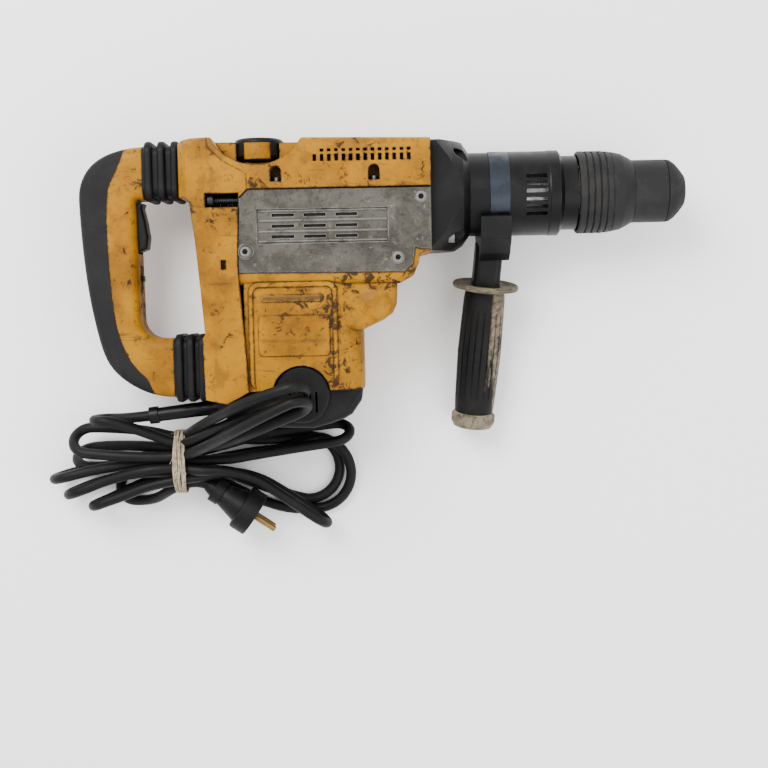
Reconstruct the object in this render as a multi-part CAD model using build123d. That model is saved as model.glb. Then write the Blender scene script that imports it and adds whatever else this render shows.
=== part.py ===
from build123d import *
import math
import os

os.makedirs("parts", exist_ok=True)

# A rotary demolition hammer, lying on its left side. Everything is drawn in the tool frame:
# X runs along the spindle to the nose, Y is the tool's own upward direction, Z points to its right side.
# The row frame is the tool frame moved by ROW, so that the floor under the left side is at Z = 0.
# All sizes are in millimetres.

# Overall widths, from the middle plane of the tool
HALF_WIDTH = 52.0
PLATE_OUTER = 50.0
PLATE_INNER = 45.5
TOP_ROUND = 8.0
LEDGE_Y = 4.0
ROW_X = -1.42
ROW_Y = 70.65
ROW = Location((ROW_X, ROW_Y, HALF_WIDTH))

# Shaft and gear layout
MOTOR_X = -61.0
GEAR_DISTANCE = 22.5
CRANK_X = MOTOR_X - GEAR_DISTANCE
BEVEL_X = MOTOR_X + GEAR_DISTANCE
MODULE = 1.0
PINION_TEETH = 9
WHEEL_TEETH = 36
CRANK_THROW = 11.0
CRANK_PIN_R = 4.6
WRIST_PIN_R = 4.0
WRIST_PIN_X = -39.5
MOTOR_SHAFT_R = 4.0
JOURNAL_R = 6.0
GEAR_LOW = -46.0
GEAR_HIGH = -38.0
RUNNING = 0.03

# Hammer mechanism
CYLINDER_R = 15.0
TUBE_R = 18.5
TUBE_REAR_X = -60.0
TOOL_BORE_R = 9.05
TOOL_BORE_REAR_X = 98.0
BEAT_BORE_R = 11.0

# Front end
STRAP_LOW_X = 83.5
STRAP_HIGH_X = 98.5
STRAP_INNER_R = 31.32
STRAP_OUTER_R = 32.9
NECK_R = 28.7
SLEEVE_SKIRT_R = 29.2

# Side handle
HANDLE_DROOP = 10.3
HANDLE_LEAN = 5.5
HANDLE_X = 89.0

# Rear handle
GRIP_HALF = 19.0
GRIP_ROUND = 8.0

# Cord
CORD_DIAMETER = 8.5


def outline(points):
    return make_face(Polyline(*points, close=True))


def prism_z(points, low, high):
    return extrude(Plane.XY.offset(low) * outline(points), amount=high - low)


def prism_y(points, low, high):
    return extrude(Plane.XZ.offset(-high) * outline(points), amount=high - low)


def prism_x(points, low, high):
    return extrude(Plane.YZ.offset(low) * outline(points), amount=high - low)


def block(x0, x1, y0, y1, z0, z1):
    middle = ((x0 + x1) / 2, (y0 + y1) / 2, (z0 + z1) / 2)
    return Pos(*middle) * Box(x1 - x0, y1 - y0, z1 - z0)


def rod_x(radius, x0, x1, y=0.0, z=0.0):
    return Pos((x0 + x1) / 2, y, z) * Rot(0, 90, 0) * Cylinder(radius, x1 - x0)


def rod_y(radius, y0, y1, x=0.0, z=0.0):
    return Pos(x, (y0 + y1) / 2, z) * Rot(90, 0, 0) * Cylinder(radius, y1 - y0)


def rod_z(radius, z0, z1, x=0.0, y=0.0):
    return Pos(x, y, (z0 + z1) / 2) * Cylinder(radius, z1 - z0)


def turned(points):
    return revolve(outline(points), Axis.X)


def both_sides(shape):
    return shape + mirror(shape, Plane.XY)


def both_ends(shape):
    return shape + mirror(shape, Plane.XZ)


def rounded(shape, axis, radius):
    return fillet(shape.edges().filter_by(axis), radius)


def wheel_outline(teeth, phase):
    # Straight-sided teeth: a low addendum and wide gaps leave backlash all round.
    pitch_r = MODULE * teeth / 2
    root_r = pitch_r - 0.9 * MODULE
    tip_r = pitch_r + 0.6 * MODULE
    half_root = 0.25 * 360 / teeth
    half_tip = 0.12 * 360 / teeth
    points = []
    for tooth in range(teeth):
        middle = phase + tooth * 360 / teeth
        for radius, angle in ((root_r, -half_root), (tip_r, -half_tip), (tip_r, half_tip), (root_r, half_root)):
            turn = math.radians(middle + angle)
            points.append((radius * math.cos(turn), radius * math.sin(turn)))
    return points


def wheel(teeth, phase, low, high, x):
    return Pos(x, 0, 0) * prism_y(wheel_outline(teeth, phase), low, high)


# ---------------------------------------------------------------- housings


GEARBOX_LOWER = [
    (-107, -57), (15, -57), (22, -52), (24, -41), (37.5, -41), (37.5, 3.5), (-97, 3.5), (-97, 2), (-107, 2),
]
GEARBOX_UPPER = [
    (-107, -40), (37.5, -40), (37.5, 33.5), (-50, 33.5), (-63.5, 27.5), (-68, 12), (-97, 12), (-97, 10.5),
    (-107, 10.5),
]
POST_X = (-78.2, -4.8)
POST_Z = 40.0
PLATE_SCREWS = ((-102.5, -42.6), (12.0, -49.0), (30.0, -4.0))
HOUSING_SCREWS = ((28.0, 28.0), (-34.0, 28.0), (28.0, -28.0), (-34.0, -28.0))


def gearbox_housing():
    body = prism_z(GEARBOX_LOWER, -PLATE_INNER, PLATE_INNER)
    body += prism_z(GEARBOX_UPPER, -34, 34)
    lower_room = block(-103, 20, -53, 0, -41.5, 41.5) - block(15, 21, -54, -45, -42, 42)
    upper_room = block(-103, -62, -40, 8, -30, 30) + block(-64, -49, -40, 24.5, -30, 30)
    upper_room += block(-50, 33.5, -40, 29.5, -30, 30)
    body -= lower_room + upper_room
    body -= block(19, 33.5, -37, 2, -30, 30)
    # The wall that carries the rear bearing of the hammer tube
    body += block(TUBE_REAR_X, TUBE_REAR_X + 8, -27, 26, -31, 31)
    body -= rod_x(24, TUBE_REAR_X, TUBE_REAR_X + 8)
    for x in POST_X:
        body += both_sides(block(x - 5, x + 5, -14, 3.5, 35, PLATE_INNER))
        body -= both_sides(rod_y(2.0, -11, 4, x, POST_Z))
    for x in (CRANK_X, BEVEL_X):
        body += rod_y(15, -53, -47, x)
        body -= rod_y(12, -53, -46, x)
    body -= rod_y(6, -58, -52, MOTOR_X)
    body -= rod_x(23, 33, 38)
    for x, y in PLATE_SCREWS:
        body += both_sides(rod_z(5, 33, PLATE_INNER, x, y) & prism_z(GEARBOX_LOWER, -46, 46))
        body -= both_sides(rod_z(2.5, 35, 46, x, y))
    for y, z in HOUSING_SCREWS:
        body += rod_x(5.5, 22, 37.5, y, z) & block(22, 37.5, -41, 33.5, -34, 34)
        body -= rod_x(2.5, 24, 38, y, z)
    body -= both_sides(rod_x(2.0, -108, -96, -4, 43))
    return body


PLATE_LINE = [
    (-99.6, 4), (37.5, 3.3), (37.5, -43.6), (28, -43), (25.2, -41.6), (23.5, -54), (16.7, -60), (-108.2, -58.8),
    (-108, -39.5), (-106.4, -2.6),
]
VENT_COLUMNS = ((-82.0, -65.3), (-58.0, -41.6), (-34.2, -18.0))
VENT_ROWS = (-16.0, -24.2, -32.1)


def side_cover():
    plate = prism_z(PLATE_LINE, PLATE_INNER, PLATE_OUTER)
    plate = fillet(plate.edges().filter_by(Axis.Z).sort_by_distance((-106.4, -2.6, 48))[0:1], 4)
    plate = chamfer(plate.faces().sort_by(Axis.Z)[-1].edges(), 0.8)
    # A sunken panel with fine ribs between the rows of vents
    plate -= block(-93, 5, -37, -11.6, PLATE_OUTER - 1.2, PLATE_OUTER + 1)
    for y in (-12.8, -20.1, -28.2, -35.6):
        plate += block(-92, 4, y - 0.5, y + 0.5, PLATE_OUTER - 2, PLATE_OUTER - 0.3)
    for low, high in VENT_COLUMNS:
        for y in VENT_ROWS:
            plate -= block(low, high, y - 1.15, y + 1.15, PLATE_INNER - 1, PLATE_OUTER + 1)
    x, y = PLATE_SCREWS[0]
    plate += rod_z(6.0, PLATE_INNER, PLATE_OUTER + 0.8, x + 0.6, y)
    for x, y in PLATE_SCREWS:
        plate -= rod_z(4.3, PLATE_OUTER - 3.0, PLATE_OUTER + 1.5, x, y)
        plate -= rod_z(2.6, PLATE_INNER - 1, PLATE_OUTER, x, y)
    return plate


def cover_screws():
    screws = []
    for x, y in PLATE_SCREWS:
        head = rod_z(4.1, PLATE_OUTER - 3.0, PLATE_OUTER - 0.2, x, y)
        head -= Pos(x, y, PLATE_OUTER - 0.9) * extrude(RegularPolygon(2.3, 6), amount=1.5)
        screw = head + rod_z(2.4, 36, PLATE_OUTER - 2.9, x, y)
        screws += [screw, mirror(screw, Plane.XY)]
    return Compound(screws)


TOP_LINE = [
    (37.5, LEDGE_Y), (37.5, 40.2), (-130, 43.4), (-128, 35), (-117, 24.5), (-104, 17.6), (-100.3, 15.3),
    (-99.8, LEDGE_Y),
]
SCOOP_X = -92.5
SCOOP_Y = 59.8
SCOOP_R = 38.3
KNOB_X = -94.2
WEB_HALF = 12.0


def top_cover():
    body = prism_z(TOP_LINE, -HALF_WIDTH, HALF_WIDTH)
    upper = [e for e in body.edges() if e.center().Y > 40 and abs(e.center().Z) > 50 and e.length > 100]
    body = fillet(upper, TOP_ROUND)
    room_line = [(-101, 3), (-101, 10.6), (-97, 12.5), (-68, 12.5), (-63.8, 28), (-50, 34), (38, 34), (38, 3)]
    room = prism_z(room_line, -35, 35)
    side_room = block(-96, 38, 3, 30, 34, 47.5)
    for x in POST_X:
        side_room -= block(x - 8, x + 8, 3, 31, 33, 48)
    side_room -= block(-127, -58, 12, 32, 33, 48)
    body -= room + both_sides(side_room)
    # Finger scoops either side of the selector knob, and the knob's round seat between them
    body -= both_sides(rod_z(SCOOP_R, WEB_HALF, HALF_WIDTH + 1, SCOOP_X, SCOOP_Y))
    body -= rod_y(20.5, 27, 50, KNOB_X)
    body -= rod_y(5.05, 12, 28, KNOB_X)
    for x in POST_X:
        pocket = block(x - 4.2, x + 4.2, 9, 16.5, POST_Z - 4.2, HALF_WIDTH + 1)
        pocket += rod_z(4.2, POST_Z - 4.2, HALF_WIDTH + 1, x, 16.5)
        body -= both_sides(pocket + rod_y(2.2, 3, 10, x, POST_Z))
    for slot in range(14):
        x = -48.8 + slot * 5.4
        body -= both_sides(block(x - 1.3, x + 1.3, 23.3, 28.3, 40, HALF_WIDTH + 1))
        if slot > 0:
            body -= both_sides(block(x - 1.3, x + 1.3, 30.3, 32.3, 40, HALF_WIDTH + 1))
    return body


def top_screws():
    screws = []
    for x in POST_X:
        screw = rod_y(3.6, 9, 12.5, x, POST_Z) - block(x - 0.6, x + 0.6, 11.5, 13, POST_Z - 3, POST_Z + 3)
        screw += rod_y(1.9, -10, 9, x, POST_Z)
        screws += [screw, mirror(screw, Plane.XY)]
    return Compound(screws)


REAR_LINE = [
    (-130, 43.4), (-128, 35), (-117, 24.5), (-104, 17.6), (-100.3, 15.3), (-99.8, 4), (-106.4, -2.6),
    (-108, -39.5), (-108.2, -58.8), (-106, -86.9), (-104, -116.6), (-102.3, -148), (-118.2, -156.8),
    (-134.9, -153.4), (-136, -107), (-134, -104.2), (-136.3, -75.8), (-139.9, -34.1), (-143.7, -4.3), (-146.7, -1),
    (-152.6, -0.6), (-152.6, 39.5), (-149.6, 43.4),
]
REAR_ROOM = [
    (-140, 39), (-131, 33), (-120, 21.5), (-104, 12.6), (-104, 0), (-112, -2), (-112, -140), (-120, -150),
    (-131, -148), (-131, -100), (-133, -75), (-136, -34), (-139, -5), (-147, 5), (-147, 36),
]
REAR_PLAN = [(-99, HALF_WIDTH), (-128, HALF_WIDTH), (-146, 46), (-153, 36)]
CHANNEL_Y = -4.0


def rear_housing():
    plan = REAR_PLAN + [(x, -z) for x, z in reversed(REAR_PLAN)]
    body = prism_z(REAR_LINE, -HALF_WIDTH, HALF_WIDTH) & prism_y(plan, -160, 50)
    top_edges = [e for e in body.edges() if e.center().Y > 43.3 and abs(e.center().Z) > 38 and e.length < 60]
    body = fillet(top_edges, TOP_ROUND - 1)
    body -= prism_z(REAR_ROOM, -40, 40)
    body -= block(-113, -99, -140, 11, -PLATE_INNER, PLATE_INNER) - block(-114, -107, 10.5, 12, -46, 46)
    # A channel on each side shows the long screw that ties the rear housing to the gearbox
    channel = block(-131.5, -106, CHANNEL_Y - 5.3, CHANNEL_Y + 5.3, 38.5, HALF_WIDTH + 1)
    body -= both_sides(channel)
    body -= both_sides(block(-120.6, -116.8, -55.6, -48.8, 46, HALF_WIDTH + 1))
    body -= rod_x(6, -137, -128, -137)
    return body


def channel_screws():
    screw = rod_x(5.0, -129.8, -125.7, CHANNEL_Y, 43.5) + rod_x(1.9, -125.7, -97, CHANNEL_Y, 43)
    for groove in range(12):
        x = -124.0 + groove * 1.4
        screw += rod_x(2.7, x, x + 0.7, CHANNEL_Y, 43)
    return Compound([screw, mirror(screw, Plane.XY)])


MOTOR_TOP_LINE = [
    (-108.2, -58.8), (16.7, -60), (23.5, -54), (25.2, -41.6), (28, -43), (37.5, -43.6), (37.5, -44.4),
    (34.3, -44.8), (28.5, -46.7), (27.6, -53.2), (23.5, -62.5), (15.1, -67), (11.4, -67.7), (-107.6, -67.7),
]
FLARE_LINE = [
    (-40, -56), (24, -41), (37.5, -41), (37.5, -44.4), (34.3, -44.8), (28.5, -46.7), (27.6, -53.2), (23.5, -62.5),
    (15.1, -67), (11.4, -67.7), (10.5, -84.1), (7.3, -90.8), (0.4, -95.8), (-15.4, -103), (-40, -103),
]
LOBE_X = -63.0
LOBE_Y = -151.0
LOBE_R = 22.0
BOSS_X = -6.0
BOSS_Y = -83.0
BOSS_R = 12.5
BOSS_TOP = 46.5
BOSS_DOME_R = 32.5
MOTOR_HALF = 47.0
MOTOR_ROOM_R = 42.5


def motor_housing():
    body = block(-104.5, -15.2, -148, -57, -MOTOR_HALF, MOTOR_HALF)
    body = fillet([e for e in body.edges().filter_by(Axis.Y) if e.center().X > -50], 26)
    rear_cut = [(-110, -56), (-108.2, -58.8), (-106, -86.9), (-104, -116.6), (-102.3, -148), (-102.3, -150), (-120, -150)]
    flare = prism_z(FLARE_LINE, -44, 44)
    flare = fillet([e for e in flare.edges() if abs(e.center().Z) > 43 and e.center().Y < -62], 6)
    band = prism_z(MOTOR_TOP_LINE, -48.5, 48.5)
    low_band_edges = [e for e in band.edges() if abs(e.center().Z) > 48 and e.center().Y < -67 and e.length > 20]
    band = fillet(low_band_edges, 5)
    body += flare + band
    # A low frame round the flat side, with a small slotted plate and a plain badge inside it
    frame = block(-101, -34.6, -146, -66, MOTOR_HALF - 1, MOTOR_HALF + 1.6)
    frame = rounded(frame, Axis.Z, 7)
    frame -= rounded(block(-98, -38, -147, -69.5, MOTOR_HALF, MOTOR_HALF + 2), Axis.Z, 5)
    badge = rounded(block(-94, -40.5, -121.5, -91, MOTOR_HALF - 1, MOTOR_HALF + 0.9), Axis.Z, 3)
    slot_plate = rounded(block(-92, -45, -80.7, -75.5, MOTOR_HALF - 1, MOTOR_HALF + 1.0), Axis.Z, 2)
    boss = Pos(BOSS_X, BOSS_Y, BOSS_TOP - BOSS_DOME_R) * Sphere(BOSS_DOME_R)
    boss &= rod_z(BOSS_R, 40, BOSS_TOP + 1, BOSS_X, BOSS_Y)
    body += both_sides(frame + badge + slot_plate + boss)
    body -= prism_z(rear_cut, -60, 60)
    body -= both_sides(prism_z(PLATE_LINE, PLATE_INNER, 60))
    body -= prism_z(GEARBOX_LOWER, -PLATE_INNER, PLATE_INNER)
    # Rooms for the motor and for the speed control
    body -= rod_y(MOTOR_ROOM_R, -149, -64, MOTOR_X)
    body -= rod_y(11, -65, -56, MOTOR_X)
    body -= prism_z([(-12, -97), (2, -90), (7, -82), (8, -71), (20, -63), (-12, -63)], -38, 38)
    body -= both_sides(rod_z(LOBE_R, 40, 60, LOBE_X, LOBE_Y))
    return body


CAP_LINE = [
    (-16.8, -148), (-17.6, -156.6), (-25, -167.2), (-30.8, -170.5), (-41.6, -174.2), (-54.8, -177.6), (-85, -176.4),
    (-118.3, -170.2), (-126.8, -167.7), (-128.4, -165.3), (-128.4, -157.2), (-118.2, -156.8), (-102.3, -148),
]
CAP_ROOM = [
    (-20.5, -147), (-21, -155.5), (-28, -164.5), (-42, -170.5), (-55, -173.8), (-85, -172.6), (-113, -166.8),
    (-113, -158.5), (-101, -151), (-101, -147),
]
CAP_HALF = 40.0
CAP_REAR_HALF = 28.0
CAP_WALL = 3.5
LOBE_HALF = 44.0


def cap_plan(inset):
    # The cap narrows towards its rear end
    line = [(-16.8, CAP_HALF - inset), (-98.0, CAP_HALF - inset), (-128.4, CAP_REAR_HALF - inset)]
    return prism_y(line + [(x, -z) for x, z in reversed(line)], -180, -146)


def end_cap():
    body = prism_z(CAP_LINE, -CAP_HALF, CAP_HALF) & cap_plan(0)
    rim = [e for e in body.edges() if abs(e.center().Z) > CAP_REAR_HALF - 1 and e.center().Y < -158]
    body = fillet([e for e in rim if -100 < e.center().X and e.length > 3], 5)
    body -= prism_z(CAP_ROOM, -CAP_HALF, CAP_HALF) & cap_plan(CAP_WALL)
    lobe = rod_z(LOBE_R, CAP_HALF - 3, LOBE_HALF, LOBE_X, LOBE_Y)
    lobe = fillet(lobe.faces().sort_by(Axis.Z)[-1].edges(), 2.5)
    lobe -= block(-90, -30, -150.5, -120, 30, CAP_HALF)
    body += both_sides(lobe)
    for x in (-72, -67, -62, -57, -52):
        body -= both_sides(block(x - 0.9, x + 0.9, -165, -149, 35, LOBE_HALF + 1))
    body -= both_sides(block(-113, -106, -163, -158, 34, CAP_HALF))
    # The pocket of the lower motor bearing
    body += rod_y(12, -174, -153, MOTOR_X) - rod_y(9, -172, -152, MOTOR_X)
    body -= rod_x(4.25, -130, -112, -162)
    return body


# ---------------------------------------------------------------- rear handle


def handle_whole():
    outer = Spline(
        (-183, 41), (-201.4, 38.6), (-224.4, 26.4), (-233.2, 8.1), (-233.6, -3.8), (-232.1, -33.7), (-227.1, -78.4),
        (-221.7, -105.3), (-213.3, -127.8), (-197.2, -142.9), (-182.4, -150), (-163, -153),
    )
    inner = Polyline((-163, -153), (-163, -107.3), (-188.2, -107.3), (-189.8, 0.5), (-183, 0.5), (-183, 41))
    body = extrude(Plane.XY.offset(-GRIP_HALF) * make_face(outer + inner), amount=2 * GRIP_HALF)
    body = fillet(body.edges().filter_by(Axis.Z).sort_by_distance((-188.2, -107.3, 0))[0:1], 16)
    body = fillet(body.edges().filter_by(Axis.Z).sort_by_distance((-189.8, 0.5, 0))[0:1], 2)
    rims = []
    for edge in body.edges():
        middle = edge.center()
        if abs(middle.Z) > GRIP_HALF - 1 and middle.X < -164 and abs(middle.X + 183) > 0.5:
            rims.append(edge)
    return fillet(rims, GRIP_ROUND)


RUBBER_EDGE = [
    (-196, 46), (-197.6, 36.3), (-202.1, 24.6), (-208.8, 10.3), (-211.1, -5.7), (-211.2, -31.6), (-209.4, -69.8),
    (-206.1, -96.5), (-200.4, -115.7), (-190.8, -131.1), (-182.6, -140.5), (-179.7, -148.1), (-179, -158),
]
CORE_LINE = [
    (-190, 37), (-200, 35.3), (-222, 23.3), (-229.8, 7), (-230.4, -4), (-229, -33), (-224, -78), (-218.7, -104.5),
    (-210.5, -126), (-195.5, -140), (-182, -146.8), (-172, -148.7), (-172, -120), (-200, -90), (-203, -20),
    (-190, 20),
]
GRIP_ROOM = [
    (-190, 33), (-201, 30.5), (-217, 21), (-226, 6), (-226.4, -4), (-225, -33), (-220, -78), (-214.8, -103),
    (-207, -123.5), (-193, -136.5), (-181, -142.8), (-170, -144.5), (-170, -112), (-186, -111), (-194, -100),
    (-194, -44), (-196, 4), (-190, 8),
]


def rubber_region():
    edge = Spline(*RUBBER_EDGE)
    far = Polyline(RUBBER_EDGE[-1], (-245, -158), (-245, 46), RUBBER_EDGE[0])
    return extrude(Plane.XY.offset(-30) * make_face(edge + far), amount=60)


def handle_shells(whole, region):
    core = prism_z(CORE_LINE, -15.5, 15.5)
    body = (whole - region) + (core & region & whole)
    body -= prism_z(GRIP_ROOM, -12.5, 12.5)
    body -= block(-197, -182, -40.8, -1.6, -9.6, 9.6)
    body -= block(-197, -182, -68.4, -50.2, -4.2, 4.2)
    body -= block(-184, -182, 8, 33, -12, 12) + block(-191, -182, 8, 33, -9, 9)
    body -= block(-171, -162, -145, -115, -10, 10)
    return body & block(-250, -150, -170, 60, 0, 30), body & block(-250, -150, -170, 60, -30, 0)


def handle_overmold(whole, region):
    return (whole & region) - prism_z(CORE_LINE, -15.5, 15.5)


def trigger():
    line = [
        (-199.5, -3), (-190.5, -3), (-184.5, -2.2), (-185.8, -5.5), (-183.1, -17.3), (-181.5, -28.5),
        (-182.7, -37.3), (-187.9, -39.4), (-199.5, -39.4),
    ]
    body = prism_z(line, -9, 9)
    rims = [e for e in body.edges() if abs(e.center().Z) > 8.5 and e.center().X > -187]
    body = fillet(rims, 2.5)
    body += block(-203, -199.5, -36, -8, -7, 7)
    return body


def lock_slider():
    body = block(-192.5, -186.4, -62.5, -58, -4, 4) + block(-196.5, -194.3, -67, -53.5, -6, 6)
    body += block(-194.5, -192, -64.5, -56, -4, 4)
    for y in (-61.4, -60.2, -59.0):
        body -= block(-187, -186, y - 0.3, y + 0.3, -5, 5)
    return body


def switch_module():
    body = block(-223, -210.5, -40, -6, -9, 9)
    body += block(-221, -212, -48, -40, -6, 6)
    body += rod_x(3.0, -210.5, -209.6, -22)
    return body


def trigger_spring():
    coil = Helix(1.4, 6.3, 3.0)
    wire = sweep(Plane(origin=(3.0, 0, 0), z_dir=(0, 1, 0)) * Circle(0.45), path=coil)
    return Pos(-209.9, -12, 0) * Rot(0, 90, 0) * wire


def bellows(x0, x1, y0, y1, half, crests, wall):
    body = rounded(block(x0, x1, y0 + 3.5, y1 - 3.5, -half + 4, half - 4), Axis.X, 7)
    step = (x1 - x0) / crests
    for crest in range(crests):
        middle = x0 + (crest + 0.5) * step
        ring = rounded(block(middle - 3.0, middle + 3.0, y0, y1, -half, half), Axis.X, 9)
        body += fillet(ring.edges().filter_by(Plane.YZ), 2.2)
    inside = block(x0 - 1, x1 + 1, y0 + 3.5 + wall, y1 - 3.5 - wall, -half + 4 + wall, half - 4 - wall)
    return body - rounded(inside, Axis.X, 4)


# ---------------------------------------------------------------- motor


def shaft_and_pinion():
    body = rod_y(MOTOR_SHAFT_R, -160, -48, MOTOR_X)
    return body + wheel(PINION_TEETH, 180, -48, -37, MOTOR_X)


def armature():
    core = rod_y(26.3, -126, -82, MOTOR_X) + rod_y(21, -133, -126, MOTOR_X) + rod_y(21, -82, -76, MOTOR_X)
    for slot in range(16):
        turn = Pos(MOTOR_X, 0, 0) * Rot(0, slot * 360 / 16, 0)
        core -= turn * block(22, 27, -127, -81, -1.2, 1.2)
    commutator = rod_y(13, -150, -133, MOTOR_X)
    for bar in range(24):
        turn = Pos(MOTOR_X, 0, 0) * Rot(0, bar * 360 / 24, 0)
        commutator -= turn * block(12.3, 13.5, -151, -136, -0.3, 0.3)
    return core + commutator - rod_y(MOTOR_SHAFT_R, -151, -75, MOTOR_X)


def fan():
    body = rod_y(37, -68, -66, MOTOR_X) + rod_y(9, -75, -66, MOTOR_X)
    for blade in range(14):
        turn = Pos(MOTOR_X, 0, 0) * Rot(0, blade * 360 / 14, 0)
        body += turn * block(14, 36, -74, -67, -0.8, 0.8)
    return body - rod_y(MOTOR_SHAFT_R, -76, -65, MOTOR_X)


def stator():
    body = rod_y(MOTOR_ROOM_R, -126, -82, MOTOR_X) - rod_y(27.3, -127, -81, MOTOR_X)
    coils = rod_y(36, -132, -126, MOTOR_X) + rod_y(36, -82, -77, MOTOR_X)
    return body + coils - rod_y(28, -133, -76, MOTOR_X)


def bearing_y(outer, inner, low, high, x):
    body = rod_y(outer, low, high, x) - rod_y(inner, low - 1, high + 1, x)
    for end in (low, high):
        groove = rod_y(outer - 2, end - 0.5, end + 0.5, x) - rod_y(inner + 2, end - 1, end + 1, x)
        body -= groove
    return body


def bearing_x(outer, inner, low, high):
    body = rod_x(outer, low, high) - rod_x(inner, low - 1, high + 1)
    for end in (low, high):
        groove = rod_x(outer - 1.6, end - 0.5, end + 0.5) - rod_x(inner + 1.6, end - 1, end + 1)
        body -= groove
    return body


def shaft_bearings():
    upper = bearing_y(11, MOTOR_SHAFT_R + RUNNING, -64, -57.2, MOTOR_X)
    lower = bearing_y(9, MOTOR_SHAFT_R + RUNNING, -161, -153.5, MOTOR_X)
    crank = bearing_y(12, JOURNAL_R + RUNNING, -53, -47, CRANK_X)
    bevel = bearing_y(12, JOURNAL_R + RUNNING, -53, -47, BEVEL_X)
    return Compound([upper, lower, crank, bevel])


def tube_bearings():
    rear = bearing_x(24, TUBE_R + RUNNING, TUBE_REAR_X, TUBE_REAR_X + 8)
    return Compound([rear, bearing_x(27, TUBE_R + RUNNING, 58, 72)])


def brush_gear():
    holder = block(MOTOR_X - 6, MOTOR_X + 6, -147.5, -136.5, 17, 36.5)
    holder -= block(MOTOR_X - 4, MOTOR_X + 4, -145.5, -138.5, 16, 35)
    brush = block(MOTOR_X - 3.9, MOTOR_X + 3.9, -145.4, -138.6, 13.3, 30)
    return Compound([holder, brush, mirror(holder, Plane.XY), mirror(brush, Plane.XY)])


# ---------------------------------------------------------------- drive


def crank_gear():
    body = wheel(WHEEL_TEETH, 5, GEAR_LOW, GEAR_HIGH, CRANK_X) + rod_y(JOURNAL_R, -52.9, GEAR_LOW, CRANK_X)
    body += rod_y(16, GEAR_HIGH, -34, CRANK_X)
    pin_x = CRANK_X - CRANK_THROW
    return body + rod_y(CRANK_PIN_R, -34, -7.3, pin_x)


def bevel_shaft():
    body = wheel(WHEEL_TEETH, 0, GEAR_LOW, GEAR_HIGH, BEVEL_X) + rod_y(JOURNAL_R, -52.9, GEAR_LOW, BEVEL_X)
    body += rod_y(5, GEAR_HIGH, -29, BEVEL_X) + rod_y(7.6, -30, -23.5, BEVEL_X)
    for tooth in range(12):
        turn = Pos(BEVEL_X, 0, 0) * Rot(0, tooth * 30, 0)
        body += turn * block(5, 9.5, -30, -24, -0.8, 0.8)
    return body


def bevel_ring():
    body = rod_x(29.2, -28.4, -21) - rod_x(TUBE_R, -29, -20)
    for tooth in range(36):
        turn = Rot(tooth * 10 + 5, 0, 0)
        body += turn * block(-30.0, -28.3, 23.5, 28.9, -0.8, 0.8)
    return body


def piston():
    body = rod_x(CYLINDER_R - RUNNING, -45, -27)
    body -= block(-46, -32, -6.6, 6.6, -9, 9)
    body -= rod_y(WRIST_PIN_R, -16, 16, WRIST_PIN_X)
    body -= rod_x(CYLINDER_R + 1, -30.5, -28.5) - rod_x(13.4, -31, -28)
    return body


def connecting_rod():
    pin_x = CRANK_X - CRANK_THROW
    body = rod_y(8, -7, 7, pin_x) + block(pin_x, WRIST_PIN_X, -4, 4, -4, 4)
    body += rod_y(7.5, -6.4, 6.4, WRIST_PIN_X)
    body -= rod_y(CRANK_PIN_R + 0.1, -8, 8, pin_x)
    return body - rod_y(WRIST_PIN_R, -8, 8, WRIST_PIN_X)


def hammer_tube():
    return rod_x(TUBE_R, TUBE_REAR_X, 52) - rod_x(CYLINDER_R, TUBE_REAR_X - 1, 53)


def tool_holder():
    body = turned([(52, 0), (52, TUBE_R), (150, TUBE_R), (150, 17), (222, 17), (222, 0)])
    body += rod_x(21.5, 151.8, 153.6) - rod_x(16, 151, 154)
    body -= rod_x(BEAT_BORE_R, 51, TOOL_BORE_REAR_X) + rod_x(TOOL_BORE_R, TOOL_BORE_REAR_X - 1, 223)
    body -= both_ends(block(168, 178, 8, 18, -3, 3))
    return body


def lock_segments():
    body = block(168.2, 177.8, 9.3, 16.6, -2.9, 2.9)
    return Compound([body, mirror(body, Plane.XZ)])


def ram():
    body = rod_x(CYLINDER_R - RUNNING, 10, 40) + rod_x(8, 40, 51.5)
    for x in (14, 34):
        body -= rod_x(CYLINDER_R + 1, x, x + 2) - rod_x(13.4, x - 1, x + 3)
    return body


def beat_piece():
    return rod_x(BEAT_BORE_R - RUNNING, 54, 73) + rod_x(7.6, 73, 92)


# ---------------------------------------------------------------- front end


FRONT_ROUND = [(37.5, 0), (37.5, 58), (46, 52.5), (54.5, 45.5), (63, 40.2), (68.5, 32.3), (83.5, 32.2), (83.5, 0)]


def front_housing():
    box_part = block(37.5, 83.5, -44, 39.6, -40.5, 40.5)
    box_part = rounded(box_part, Axis.X, 5)
    body = box_part & turned(FRONT_ROUND)
    body -= rod_x(27, 41.5, 84) + rod_x(23, 37, 42)
    for y, z in HOUSING_SCREWS:
        body -= rod_x(5.2, 51, 84, y, z) + rod_x(2.7, 37, 52, y, z)
    body += rod_x(27, 56, 58) - rod_x(23, 55, 59)
    return body


def housing_screws():
    screws = []
    for y, z in HOUSING_SCREWS:
        head = rod_x(4.4, 51, 55.5, y, z)
        head -= Pos(54, y, z) * Rot(0, 90, 0) * extrude(RegularPolygon(2.4, 6), amount=2)
        screws.append(head + rod_x(2.4, 25, 51, y, z))
    return Compound(screws)


def barrel():
    body = turned(
        [
            (STRAP_LOW_X, 27), (STRAP_LOW_X, 31.3), (STRAP_HIGH_X, 31.3), (STRAP_HIGH_X, 32.7), (129, 32.7),
            (130, 33.1), (137.4, 33.1), (140.7, NECK_R), (151.6, NECK_R), (151.6, 24), (137, 24), (135, 27),
        ]
    )
    # Two groups of air slots on each side
    for angle in (-6, 4, 14, 26, 36, 46):
        slot = Rot(angle - 14, 0, 0) * block(111, 127.3, -1.6, 1.6, 24, 40)
        body -= both_sides(slot)
    return body


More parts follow.
